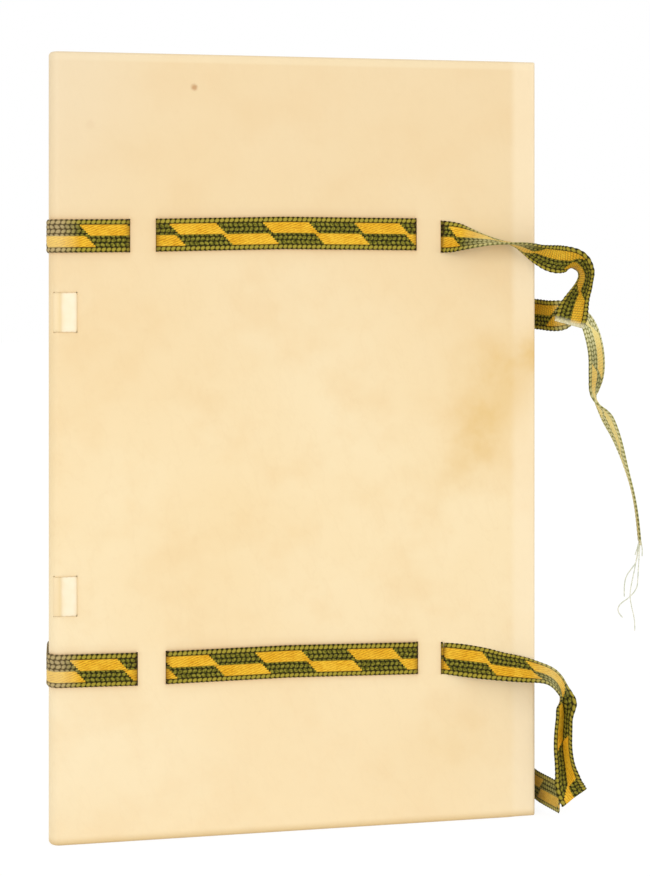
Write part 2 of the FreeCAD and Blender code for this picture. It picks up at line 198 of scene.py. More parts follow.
def woven_finish():
    """Gold and green blocks, bead rows and floats, from the tape's own across and along places."""
    made = Finish("woven_ribbon")
    across, along = made.place("weave")
    across, along = across * 1000, along * 1000
    reverse = across > 1000 * REVERSE - 5
    across = across - reverse * (1000 * REVERSE)
    lower = across > 4.7
    stepped = across - (across * 1.6 % 1) / 1.6 + 0.3
    slanted = along - (stepped - 2.95 - lower * 3.5) * BLOCK_SLANT - lower * 2.0
    slanted = slanted / BLOCK_REPEAT + lower * 0.5
    uneven = made.cloud(made.point(along, across * 3), 0.9, 2.0) - 0.5
    gold = ((slanted + uneven * 0.012) % 1) < BLOCK_GOLD
    gold = abs(gold - reverse)
    ground = (across > SELVEDGE) * (across < 9.4 - SELVEDGE)
    gold = gold * ground
    border = abs(across - 4.7) - (4.7 - SELVEDGE)
    rows = (across - SELVEDGE) / BEAD_ROW
    row = rows % 1
    number = rows - row
    lean = row * ((number % 2) * 0.6 - 0.3)
    bead_x = (along / BEAD_STEP + number * 0.5 + lean + uneven * 0.35) % 1
    bead = 1 - ((abs(bead_x - 0.5) * 2) ** 2 + (abs(row - 0.5) * 2) ** 2).ease(0.25, 1.2)
    streak = made.cloud(made.point(along * 0.75 + across * 0.9, across * 6.4 + along * 1.1), 1.0, 3.0)
    float_line = (across * 1.35 + along * 0.5 + uneven * 1.2).wave()
    bound = (along * 1.15 + across * 0.25).wave() * reverse
    sheen = streak.ease(0.36, 0.64) * 0.5 + float_line.ease(0.0, 0.7) * 0.5
    mottle = made.cloud(made.point(along * 0.16, across * 0.2), 1.0, 3.0).ease(0.3, 0.7)
    dark_green = made.mix(mottle, colour(22, 22, 2), colour(44, 42, 5))
    speck = made.cloud(made.point(along * 1.3, across * 1.3), 1.0, 2.0).ease(0.35, 0.65)
    bright_green = made.mix(speck, colour(92, 90, 18), colour(156, 146, 50))
    bright_green = made.mix(1 - ground, bright_green, colour(172, 156, 54))
    green = made.mix(bead * 0.92, dark_green, bright_green)
    deep_gold = made.mix(mottle, colour(186, 118, 8), colour(208, 142, 14))
    pale_gold = made.mix(mottle, colour(246, 192, 40), colour(250, 206, 62))
    golden = made.mix(sheen, deep_gold, pale_gold)
    golden = made.mix(bound * 0.45, golden, colour(96, 92, 30))
    cloth = made.mix(gold, green, golden)
    seam = (1 - abs(border).ease(0.02, 0.3)) * 0.55 + (1 - abs(across - 4.7).ease(0.0, 0.22)) * 0.4
    cloth = made.mix(seam, cloth, colour(52, 44, 12))
    # Partly rubbing, partly painted highlight: round the spine the green turns to rubbed bead colours and
    # the gold to a pale lit gold.
    worn_and_highlit = made.spread("worn_and_highlit")
    rubbed = made.mix(bead, colour(98, 82, 52), colour(190, 168, 124))
    cloth = made.mix(worn_and_highlit * (1 - gold) * 0.8, cloth, rubbed)
    cloth = made.mix(worn_and_highlit * gold * 0.45, cloth, colour(246, 222, 150))
    # Painted highlight: where a tie faces the light, its beads and gold are mixed toward pale lit colours.
    highlit_bead = made.mix(bead, colour(144, 140, 74), colour(236, 230, 174))
    highlit_bead = made.mix(gold, highlit_bead, made.mix(sheen, colour(248, 222, 122), colour(254, 240, 168)))
    cloth = made.mix(made.spread("painted_highlight"), cloth, highlit_bead)
    strand = made.mix((across * 2.6 + uneven).wave(), colour(190, 182, 128), colour(242, 234, 202))
    cloth = made.mix(made.spread("frayed"), cloth, strand)
    cloth = made.mix(made.spread("shadow") * 0.75, cloth, colour(48, 16, 6))
    relief = bead * (1 - gold) * 0.9 + gold * (0.55 + sheen * 0.3)
    made.set(
        Base_Color=cloth,
        Roughness=0.72 - gold * 0.2,
        Normal=made.bump(relief, 0.00025, 0.7),
        Specular_IOR_Level=0.12,
    )
    return made.material


def weave_height(across, along):
    """How far the beads and floats stand up on the two faces, for places in metres."""
    across, along = across * 1000, along * 1000
    rows = (across - SELVEDGE) / BEAD_ROW
    row = rows % 1
    number = np.floor(rows)
    bead_x = (along / BEAD_STEP + number * 0.5 + row * (number % 2 * 0.6 - 0.3)) % 1
    bead = np.sin(np.pi * bead_x) * np.sin(np.pi * row)
    lower = across > 4.7
    slanted = along - (across - 2.95 - lower * 3.5) * BLOCK_SLANT - lower * 2.0
    ground = (across > SELVEDGE) & (across < 9.4 - SELVEDGE)
    gold = ((slanted / BLOCK_REPEAT + lower * 0.5) % 1 < BLOCK_GOLD) & ground
    front = np.where(gold, 0.05, 0.13 * bead)
    back = np.where(gold, 0.13 * bead, 0.05)
    return front / 1000, back / 1000


def drawn(name, points, faces, uv_map, uv, shift=None, spreads=None):
    """A smooth mesh object with a coordinate map and numbers kept at its points."""
    mesh = bpy.data.meshes.new(name)
    mesh.from_pydata(np.asarray(points).tolist(), [], faces)
    corner = np.zeros(len(mesh.loops), int)
    mesh.loops.foreach_get("vertex_index", corner)
    spots = np.asarray(uv, float)[corner]
    if shift is not None:
        counts = np.array([len(face) for face in faces])
        spots[:, 0] += np.repeat(np.asarray(shift, float), counts)
    mesh.uv_layers.new(name=uv_map).data.foreach_set("uv", spots.astype(np.float32).ravel())
    for word, numbers in (spreads or {}).items():
        kept = mesh.attributes.new(word, "FLOAT", "POINT")
        kept.data.foreach_set("value", np.asarray(numbers, np.float32).ravel())
    mesh.polygons.foreach_set("use_smooth", np.ones(len(faces), bool))
    mesh.validate()
    made = bpy.data.objects.new(name, mesh)
    bpy.context.scene.collection.objects.link(made)
    return made


def strip(name, middle, across, along, wide, thick, facing=1, fold=None, relief=None, spreads=None,
          columns=30):
    """A closed flat strip along a line: two faces, two round edges and two cut ends."""
    middle = np.asarray(middle, float)
    across = np.asarray(across, float)
    along = np.asarray(along, float)
    number = len(middle)
    onward = np.gradient(middle, axis=0)
    onward /= np.linalg.norm(onward, axis=1)[:, None]
    across = across - onward * (across * onward).sum(1)[:, None]
    across /= np.linalg.norm(across, axis=1)[:, None]
    out = np.cross(onward, across) * facing
    angle = np.zeros(number) if fold is None else np.asarray(fold, float)
    cosine = np.cos(angle)[:, None, None]
    sine = np.sin(angle)[:, None, None]
    steps = np.linspace(wide / 2, -wide / 2, columns + 1)
    offset = steps[None, :, None]
    a = np.broadcast_to((wide / 2 - steps)[None, :], (number, columns + 1))
    v = np.broadcast_to(along[:, None], (number, columns + 1))
    line = middle[:, None, :] + across[:, None, :] * offset * cosine
    line = line + out[:, None, :] * (abs(offset) - wide / 4) * sine
    normal = out[:, None, :] * cosine - across[:, None, :] * np.sign(offset) * sine
    high, low = relief(a, v) if relief else (np.zeros(a.shape), np.zeros(a.shape))
    thickness = np.full(columns + 1, thick / 2)
    thickness[[0, -1]] *= 0.6
    front = line + normal * (thickness + high)[:, :, None]
    back = line - normal * (thickness + low)[:, :, None]
    bulge = thick * 0.45 * (0.6 + 0.8 * np.abs(np.sin(np.pi * along / (BEAD_STEP / 1000))))
    top = line[:, 0] + across * (bulge * np.cos(angle))[:, None]
    bottom = line[:, -1] - across * (bulge * np.cos(angle))[:, None]
    points = np.concatenate([front.reshape(-1, 3), back.reshape(-1, 3), top, bottom])
    uv = np.concatenate([
        np.stack([a.ravel(), v.ravel()], 1),
        np.stack([a.ravel(), v.ravel()], 1),
        np.stack([np.zeros(number), along], 1),
        np.stack([np.full(number, wide), along], 1),
    ])
    grid = np.arange(number * (columns + 1)).reshape(number, columns + 1)
    under = grid + grid.size
    above = np.arange(number) + 2 * grid.size
    below = above + number

    def quads(one, two, three, four):
        return np.stack([np.ravel(c) for c in (one, two, three, four)], 1).tolist()

    face = quads(grid[:-1, :-1], grid[:-1, 1:], grid[1:, 1:], grid[1:, :-1])
    reverse = quads(under[:-1, :-1], under[1:, :-1], under[1:, 1:], under[:-1, 1:])
    edges = quads(grid[:-1, 0], grid[1:, 0], above[1:], above[:-1])
    edges += quads(above[:-1], above[1:], under[1:, 0], under[:-1, 0])
    edges += quads(grid[1:, -1], grid[:-1, -1], below[:-1], below[1:])
    edges += quads(below[1:], below[:-1], under[:-1, -1], under[1:, -1])
    ends = quads(grid[0, :-1], under[0, :-1], under[0, 1:], grid[0, 1:])
    ends += quads(grid[-1, 1:], under[-1, 1:], under[-1, :-1], grid[-1, :-1])
    ends += [[grid[0, 0], above[0], under[0, 0]], [grid[0, -1], under[0, -1], below[0]]]
    ends += [[grid[-1, 0], under[-1, 0], above[-1]], [grid[-1, -1], below[-1], under[-1, -1]]]
    ends = [[int(c) for c in face_ends] for face_ends in ends]
    faces = face + reverse + edges + ends
    if facing < 0:
        faces = [face_turned[::-1] for face_turned in faces]
    shift = [0.0] * len(face) + [REVERSE] * len(reverse) + [0.0] * (len(edges) + len(ends))
    kept = {}
    for word, numbers in (spreads or {}).items():
        wide_numbers = np.repeat(np.asarray(numbers, float), columns + 1)
        kept[word] = np.concatenate([wide_numbers, wide_numbers, numbers, numbers])
    return drawn(name, points, faces, "weave", uv, shift, kept)


def flowing(points):
    """The smooth line that a NURBS curve with these control points draws."""
    curve = bpy.data.curves.new("route", "CURVE")
    curve.dimensions = "3D"
    curve.resolution_u = 24
    spline = curve.splines.new("NURBS")
    spline.points.add(len(points) - 1)
    for spot, place in zip(spline.points, points):
        spot.co = (*place, 1)
    spline.order_u = 3
    spline.use_endpoint_u = True
    held = bpy.data.objects.new("route", curve)
    bpy.context.scene.collection.objects.link(held)
    bpy.context.view_layer.update()
    mesh = bpy.data.meshes.new_from_object(held)
    line = np.array([v.co for v in mesh.vertices], float)
    bpy.data.objects.remove(held)
    bpy.data.meshes.remove(mesh)
    return line


woven = woven_finish()

# Free ends: each tie leaves the slit near the fore edge and hangs limp, with its own twists.
# A row is a point of the route in millimetres, the way across the tape, and its lengthwise fold.
TIES = {
    "upper_front_tie": (1, 0.0459, [
        ((45.9, -10.3, 184.3), (0, 0, 1), 0),
        ((49.0, -12.0, 184.1), (0, 0.35, 0.94), 0),
        ((52.8, -13.8, 183.8), (0, 0.7, 0.71), 0),
        ((60.0, -15.2, 183.1), (0, 0.96, 0.27), 0),
        ((68.8, -15.3, 182.0), (0, 1, -0.04), 0),
        ((72.6, -15.2, 180.6), (0, 0.93, -0.35), 0),
        ((76.1, -15.1, 178.9), (0.03, 0.79, -0.61), 0),
        ((81.7, -14.9, 177.1), (0.07, 0.41, -0.91), 0),
        ((85.9, -14.9, 177.0), (0.13, 0.58, -0.81), 0),
        ((88.4, -14.6, 176.5), (0.12, 0.75, -0.65), 0),
        ((90.5, -14.0, 175.1), (-0.02, 0.89, -0.45), 0),
        ((92.2, -13.2, 172.5), (-0.12, 0.97, -0.2), 0),
        ((91.8, -12.7, 169.3), (-0.25, 0.97, 0.02), 0),
        ((89.3, -12.6, 164.6), (-0.5, 0.84, 0.1), 0),
        ((87.8, -12.6, 160.5), (-0.85, 0.5, 0.2), 0),
        ((86.7, -12.6, 156.4), (-0.95, 0, 0.33), 0),
    ]),
    "upper_back_tie": (-1, -0.0824, [
        ((45.9, 10.3, 184.3), (0, 0, 1), 0),
        ((51.6, 11.2, 183.6), (0.15, 0, 1), 0),
        ((58.2, 12.2, 180.0), (0.45, 0, 0.9), 0),
        ((64.4, 12.8, 174.4), (0.65, 0, 0.75), 0),
        ((69.6, 12.9, 167.8), (0.7, 0, 0.7), 0),
        ((74.8, 12.4, 162.2), (0.45, 0, 0.9), 0),
        ((79.4, 9.8, 159.4), (0.1, 0, 1), 0),
        ((82.5, 5.0, 159.2), (0, -0.1, 1), 0),
        ((84.4, 0.5, 158.8), (-0.05, 0, 1), 0),
        ((87.3, -3.0, 159.0), (-0.1, 0.3, 0.95), 0),
        ((91.0, -5.0, 159.4), (0.2, 0.75, 0.6), 0),
        ((94.0, -6.4, 158.8), (0.6, 0.75, 0.25), 0),
        ((96.0, -7.4, 154.2), (0.74, 0.66, 0.12), 0),
        ((97.5, -8.0, 147.2), (0.77, 0.64, 0.05), 0),
        ((97.5, -8.0, 140.1), (0.78, 0.63, 0), 0),
        ((96.5, -8.0, 135.0), (0.62, 0.78, 0), 0),
        ((97.0, -8.0, 131.8), (0.34, 0.94, 0), 0),
        ((100.2, -8.0, 127.9), (-0.08, 1, -0.05), 0),
        ((101.9, -8.0, 124.3), (-0.1, 1, -0.05), 0),
        ((104.4, -8.0, 119.1), (0.05, 1, 0), 0),
        ((107.4, -8.0, 110.1), (0.25, 0.97, 0), 0),
        ((110.1, -8.0, 101.0), (0.3, 0.95, 0), 0),
        ((111.5, -8.0, 91.9), (0.3, 0.95, 0), 0),
        ((112.0, -8.0, 85.8), (0.3, 0.95, 0), 0),
    ]),
    "lower_front_tie": (1, 0.0459, [
        ((45.9, -10.3, 51.9), (0, 0, 1), 0),
        ((51.4, -11.2, 51.2), (0, 0.15, 0.99), 0),
        ((58.1, -12.4, 50.3), (0, 0.45, 0.89), 0),
        ((64.2, -13.6, 49.2), (0.05, 0.68, 0.73), 0),
        ((70.4, -14.1, 48.3), (0.1, 0.75, 0.66), 0),
        ((76.6, -14.4, 47.0), (0.15, 0.88, 0.45), 0.1),
        ((80.4, -14.2, 45.3), (0.45, 0.85, 0.28), 0.1),
        ((82.9, -14.0, 42.8), (0.5, 0.84, 0.2), 0.15),
        ((84.5, -13.8, 39.4), (0.5, 0.86, 0.1), 0.3),
        ((84.8, -13.7, 34.2), (0.95, -0.3, 0), 1.05),
        ((84.4, -13.6, 28.6), (0.95, -0.3, 0), 0.97),
        ((84.2, -13.6, 22.9), (0.95, -0.3, 0), 0.95),
        ((84.9, -13.6, 17.5), (0.95, -0.3, 0), 0.9),
        ((85.6, -13.6, 13.4), (0.95, -0.2, 0.1), 0.65),
        ((86.2, -13.6, 9.6), (0.85, 0, 0.4), 0.35),
        ((88.0, -13.6, 6.6), (0.72, 0.1, 0.69), 0.1),
    ]),
    "lower_back_tie": (-1, -0.0967, [
        ((45.9, 10.3, 51.9), (0, 0, 1), 0),
        ((51.4, 11.3, 50.6), (0.15, 0, 1), 0),
        ((57.6, 12.4, 46.0), (0.5, 0, 0.85), 0),
        ((63.8, 13.2, 38.8), (0.75, 0, 0.65), 0),
        ((69.0, 13.6, 30.0), (0.85, 0, 0.5), 0),
        ((73.5, 13.4, 21.4), (0.85, 0, 0.5), 0),
        ((77.0, 12.6, 13.6), (0.7, 0.05, 0.7), 0),
        ((79.2, 9.6, 7.6), (0.15, -0.76, 0.6), 0),
        ((79.7, 5.4, 6.6), (0, -0.24, 0.97), 0),
        ((79.9, 0.8, 6.2), (0, 0, 1), 0),
        ((81.0, -4.0, 6.3), (0, 0.05, 1), 0),
        ((82.5, -8.0, 6.2), (0, 0.05, 1), 0),
        ((83.8, -11.5, 6.0), (0, 0, 1), 0),
    ]),
}
PATTERN_START = {"upper": -0.06685, "lower": -0.06923}
STRETCH = {"upper_front_tie": (-0.0016, 0, 0.1), "lower_back_tie": (0, 0.066, 0.35)}
# Painted highlight on the free ends: for each tie, run lengths and how far its colours are mixed toward
# pale lit colours.
PAINTED_HIGHLIGHT = {
    "upper_front_tie": ([0.006, 0.014, 0.024, 0.030], [0, 0.55, 0.45, 0]),
    "upper_back_tie": (
        [0.055, 0.063, 0.070, 0.078, 0.088, 0.094, 0.118, 0.134],
        [0.0, 0.9, 1.0, 0.45, 0.3, 0.9, 1.0, 0.6],
    ),
    "lower_front_tie": ([0.028, 0.036, 0.044], [0, 0.4, 0]),
    "lower_back_tie": ([0.060, 0.080], [0, 0.2]),
}
for name, (facing, start, rows) in TIES.items():
    line = flowing([place for place, _, _ in rows]) / 1000
    across = flowing([turn for _, turn, _ in rows])
    fold = flowing([(bend, 0, 0) for _, _, bend in rows])[:, 0]
    run = np.concatenate([[0], np.cumsum(np.linalg.norm(np.diff(line, axis=0), axis=1))])
    shift, first, stretch = STRETCH.get(name, (0, 0, 0))
    drawn_out = run + shift + stretch * np.clip(run - first, 0, None)
    along = start + facing * drawn_out - PATTERN_START[name.split("_")[0]]
    left = run[-1] - run
    spreads = {
        "shadow": np.clip(1 - run / 0.0012, 0, 0.8),
        "worn_and_highlit": np.zeros(len(line)),
        "frayed": np.clip(1.4 - left / 0.0014, 0, 1) * name.startswith("upper"),
        "painted_highlight": np.interp(run, *PAINTED_HIGHLIGHT[name]),
    }
    tie = strip(
        f"{name}_tape", line, across, along, RIBBON_WIDE, RIBBON_THICK, facing, fold, weave_height,
        spreads,
    )
    tie.data.materials.append(woven)
    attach(tie, name.split("_")[1])
    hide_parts(name)

# Loose threads: the upper back tie has lost its hem, and a few pale warp threads hang from it,
# drawn thin and kinked as they came out of the weave.
THREADS = [
    [(0.1119, -0.0080, 0.0862), (0.1114, -0.0081, 0.0800), (0.1090, -0.0080, 0.0770),
     (0.1074, -0.0080, 0.0750), (0.1067, -0.0080, 0.0718), (0.1068, -0.0080, 0.0684)],
    [(0.1122, -0.0080, 0.0862), (0.1117, -0.0079, 0.0790), (0.1114, -0.0080, 0.0738),
     (0.1111, -0.0080, 0.0708), (0.1085, -0.0081, 0.0680), (0.1052, -0.0080, 0.0661),
     (0.1043, -0.0080, 0.0636), (0.1062, -0.0080, 0.0617)],
    [(0.1120, -0.0078, 0.0862), (0.1106, -0.0079, 0.0780), (0.1090, -0.0080, 0.0715),
     (0.1086, -0.0080, 0.0675), (0.1106, -0.0080, 0.0600), (0.1103, -0.0080, 0.0573)],
    [(0.1118, -0.0081, 0.0862), (0.1110, -0.0083, 0.0835), (0.1103, -0.0084, 0.0818)],
    [(0.1124, -0.0080, 0.0862), (0.1131, -0.0079, 0.0838), (0.1129, -0.0078, 0.0812)],
]
THREAD_HALF = 0.00018


def spun_lines(name, runs, fineness, roundness):
    """Round threads, each one smooth open line along its points."""
    curve = bpy.data.curves.new(name, "CURVE")
    curve.dimensions = "3D"
    curve.resolution_u = fineness
    curve.bevel_depth = THREAD_HALF
    curve.bevel_resolution = roundness
    for places in runs:
        spline = curve.splines.new("NURBS")
        spline.points.add(len(places) - 1)
        for spot, place in zip(spline.points, places):
            spot.co = (*place, 1)
        spline.order_u = 3
        spline.use_endpoint_u = True
    made = bpy.data.objects.new(name, curve)
    bpy.context.scene.collection.objects.link(made)
    return made


threads = spun_lines("loose_threads", THREADS, 10, 2)
pale = Finish("loose_thread")
spun = pale.cloud(pale.node("ShaderNodeTexCoord", {}, {}).outputs["Object"], 900.0, 2.0)
pale.set(
    Base_Color=pale.mix(spun.ease(0.35, 0.65), colour(204, 208, 184), colour(236, 234, 216)),
    Roughness=0.8,
    Normal=pale.bump(spun, 0.0001, 0.5),
)
threads.data.materials.append(pale.material)
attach(threads, "back")

# The vellum case: one sheet of calf vellum folded over the spine, its edges turned in 15 mm and
# rolled softly round, slit for the ribbons and slips. Each half is one skin from the middle of the
# spine to the rolled fore edge.
SPINE_X = -0.0759
SHOULDER_X = -0.0725
FORE_X = 0.0765
DEPTH = 0.010
HEIGHT = 0.240
VELLUM = 0.0006
TURN_IN = 0.0005
TURN_IN_REACH = 0.015
SHOULDER_RADIUS = 0.0034
ROLL = 0.0012
ROLL_END = 0.0024
BAND_FROM = 0.0668
BAND_TO = 0.0716
SPINE_FLAT = DEPTH - SHOULDER_RADIUS
SHOULDER_AT = SPINE_FLAT + SHOULDER_RADIUS * math.pi / 2
RIBBON_AT = {"upper": 0.1849, "lower": 0.0524}
RIBBON_SAG = {
    "upper": ([-0.0765, -0.0518, -0.0040, 0.0373, 0.0456], [-0.0008, -0.0006, 0.0004, 0.0001, -0.0006]),
    "lower": ([-0.0765, -0.0495, -0.0030, 0.0377, 0.0456], [0.0006, 0.0002, 0.0006, -0.0001, -0.0005]),
}
RIBBON_SLITS = {
    "upper": [-0.0518, -0.0435, 0.0373, 0.0456],
    "lower": [-0.0495, -0.0405, 0.0377, 0.0456],
}
SLIP_AT = {"upper": 0.1611, "lower": 0.0754}
SLIP_WIDE = 0.0114
SLIP_SLIT = -0.0675
SLIP_SEEN = -0.0722
JOINT_SLIT = -0.0743
SLIT_HALF = 0.0003


def soft(value, low, high):
    """0 below low, 1 above high and a soft step between them."""
    share = min(max((value - low) / (high - low), 0.0), 1.0)
    return share * share * (3 - 2 * share)


def swell(x, z, side):
    """How far the limp cover cockles outward at a place; its edges and its joint stay true."""
    turn = 0.0 if side < 0 else 2.3
    wave = 0.17 * math.sin(31 * x + 14 * z + turn) + 0.13 * math.sin(47 * z - 19 * x + 1.2 * turn)
    wave += 0.08 * math.sin(76 * x - 52 * z + 0.7 + turn)
    held = soft(x, -0.068, -0.050) * soft(FORE_X - x, 0.004, 0.022)
    held *= soft(z, 0.003, 0.020) * soft(HEIGHT - z, 0.003, 0.020)
    return (wave + 0.18) * held / 1000


def ribbon_z(level, x):
    """The height of a laced ribbon's middle, which is not quite level from slit to slit."""
    return RIBBON_AT[level] + float(np.interp(x, *RIBBON_SAG[level]))


def lift(x, z):
    """The vellum by a slit: pushed out over a strip inside, pressed in under one outside."""
    total = 0.0
    for level, slits in RIBBON_SLITS.items():
        near = 1 - soft(abs(z - ribbon_z(level, x)), 0.0042, 0.0066)
        if near:
            for number, slit in enumerate(slits):
                over = (x - slit) * (1 if number % 2 == 0 else -1)
                total += near * (0.22 * math.exp(-over / 0.0022) if over > 0 else
                                 -0.10 * math.exp(over / 0.0016))
    return total / 1000


def spine_path(p, outward=0.0):
    """Where the front half of the case runs, p metres from mid spine: place, way on, way out."""
    radius = SHOULDER_RADIUS + outward
    if p < SPINE_FLAT:
        return (SPINE_X - outward, -p), (0.0, -1.0), (-1.0, 0.0)
    if p < SHOULDER_AT:
        angle = (p - SPINE_FLAT) / SHOULDER_RADIUS
        out = (-math.cos(angle), -math.sin(angle))
        centre = (SHOULDER_X, -SPINE_FLAT)
        place = (centre[0] + out[0] * radius, centre[1] + out[1] * radius)
        return place, (math.sin(angle), -math.cos(angle)), out
    return (SHOULDER_X + p - SHOULDER_AT, -DEPTH - outward), (1.0, 0.0), (0.0, -1.0)


def skin_point(p, q, depth, side):
    """A point of the case at p across, q up and some depth under its outer face."""
    flat_p = min(p, SHOULDER_AT + FORE_X - ROLL - SHOULDER_X)
    flat_q = min(max(q, ROLL), HEIGHT - ROLL)
    over_p, over_q = p - flat_p, q - flat_q
    (x, y), onward, out = spine_path(flat_p)
    bulge = swell(x, flat_q, side) + lift(x, flat_q) if flat_p > SHOULDER_AT else 0.0
    bulge -= 0.0003 * soft(x, BAND_FROM, BAND_TO)
    over = (abs(over_p) ** 5 + abs(over_q) ** 5) ** 0.2
    angle = min(over / ROLL, math.pi / 2)
    straight = max(over - ROLL * math.pi / 2, 0.0)
    reach = (ROLL - depth) * math.sin(angle)
    inward = (ROLL - depth) * math.cos(angle) - ROLL - straight + bulge
    share_p, share_q = (over_p / over, over_q / over) if over else (0.0, 0.0)
    x += onward[0] * share_p * reach + out[0] * inward
    y += onward[1] * share_p * reach + out[1] * inward
    return x, y * -side, flat_q + share_q * reach


def spaced(low, high, step, exact):
    """Rising places from low to high, not further apart than a step, with the exact ones among them."""
    fixed = sorted({low, high, *[round(e, 6) for e in exact if low < e < high]})
    places = [fixed[0]]
    for before, after in zip(fixed, fixed[1:]):
        count = max(1, math.ceil((after - before) / step - 1e-6))
        places += [before + (after - before) * n / count for n in range(1, count + 1)]
    return places


def from_x(x):
    """How far along the case a place at x on the cover lies."""
    return SHOULDER_AT + x - SHOULDER_X


def on_arc(x):
    """How far along the case an upright line at x runs on the shoulder."""
    return SHOULDER_AT - SHOULDER_RADIUS * math.asin((SHOULDER_X - x) / SHOULDER_RADIUS)


slit_boxes = []
for level, slits in RIBBON_SLITS.items():
    half = RIBBON_WIDE / 2 + 0.0004
    for slit in slits:
        middle = round(ribbon_z(level, slit), 4)
        slit_boxes.append((from_x(slit - SLIT_HALF), from_x(slit + SLIT_HALF),
                           middle - half, middle + half))
for level, middle in SLIP_AT.items():
    half = SLIP_WIDE / 2 + 0.0005
    slit_boxes.append((from_x(SLIP_SLIT - SLIT_HALF / 2), from_x(SLIP_SLIT + SLIT_HALF / 2),
                       middle - half, middle + half))
    slit_boxes.append((on_arc(JOINT_SLIT - SLIT_HALF / 2), on_arc(JOINT_SLIT + SLIT_HALF / 2),
                       middle - half, middle + half))


def halo(x, z):
    """The dark line beside a strip on the vellum: part soiling, part painted contact shadow, with painted
    shade at the slits.
    """
    worst = 0.0
    for level, slits in RIBBON_SLITS.items():
        away = abs(z - ribbon_z(level, x)) - RIBBON_WIDE / 2
        for low, high in ((SPINE_X, slits[0]), (slits[1], slits[2])):
            aside = max(low - x, x - high, 0.0)
            if -0.001 < away < 0.006 and aside < 0.002:
                worst = max(worst, math.exp(-max(away, 0) / 0.0009) * math.exp(-aside / 0.0006))
        for slit in slits:
            if away < 0.001:
                worst = max(worst, 0.6 * math.exp(-abs(x - slit) / 0.0007) * (1 - soft(away, 0, 0.001)))
    for middle in SLIP_AT.values():
        away = abs(z - middle) - SLIP_WIDE / 2
        aside = max(SLIP_SEEN - x, x - SLIP_SLIT, 0.0)
        if away < 0.003 and aside < 0.003:
            worst = max(worst, 0.3 * math.exp(-(max(away, 0) + aside) / 0.0006))
    return worst


def along_line(x, z, first, second):
    """The share of the way along a line and how far off it a place lies."""
    way = (second[0] - first[0], second[1] - first[1])
    length = math.hypot(*way)
    share = ((x - first[0]) * way[0] + (z - first[1]) * way[1]) / length ** 2
    off = abs((x - first[0]) * way[1] - (z - first[1]) * way[0]) / length
    return share, off


def stains_with_shade(x, z, side):
    """Soft darker marks: on the front a band from the fore edge, part stain and part painted shade of a
    fold, and a painted soft shade near the tail; on the back stains.
    """
    if side < 0:
        share, off = along_line(x, z, (0.0765, 0.1470), (0.0400, 0.0960))
        first = math.exp(-(off / 0.0085) ** 2) * soft(share, -0.6, 0.1) * (1 - soft(share, 0.25, 1.1))
        second = 0.35 * math.exp(-((x - 0.047) / 0.016) ** 2 - ((z - 0.025) / 0.010) ** 2)
        third = 0.45 * math.exp(-((x - 0.060) / 0.013) ** 2 - ((z - 0.140) / 0.016) ** 2)
        return first + second + third
    return 0.6 * math.exp(-((x - 0.020) / 0.030) ** 2 - ((z - 0.070) / 0.024) ** 2)


